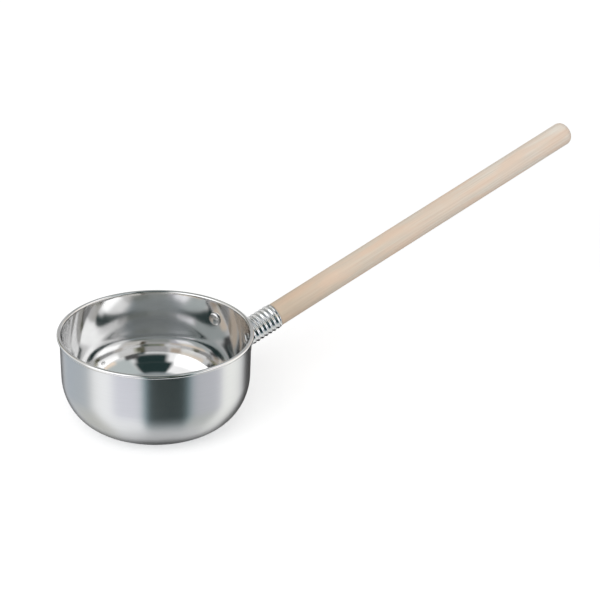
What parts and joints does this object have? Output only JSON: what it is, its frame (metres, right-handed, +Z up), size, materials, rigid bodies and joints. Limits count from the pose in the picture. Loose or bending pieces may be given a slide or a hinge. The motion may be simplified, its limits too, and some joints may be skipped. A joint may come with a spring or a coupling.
{
  "type": "water ladle",
  "caption": "Deep round stainless steel ladle bowl with a curled rim, riveted bracket, rolled-thread socket and a long round wooden handle.",
  "frame": {"origin": "centre of the bowl's flat base, on the surface that the ladle stands on", "axes": "+Z up along the bowl's axis, +X towards the side that the handle leaves from"},
  "size_m": [0.4959, 0.158, 0.1656],
  "materials": {
    "bowl_steel": "satin outside, mirror polished inside",
    "bracket_steel": "satin",
    "rivet_steel": "polished",
    "socket_steel": "bright rolled",
    "handle_wood": "fine sanded, unvarnished pale wood"
  },
  "bodies": {
    "root": {"bowl": "bowl_steel", "handle_bracket": "bracket_steel", "rivet_left": "rivet_steel", "rivet_right": "rivet_steel", "thread_socket": "socket_steel", "handle": "handle_wood"}
  },
  "joints": []
}
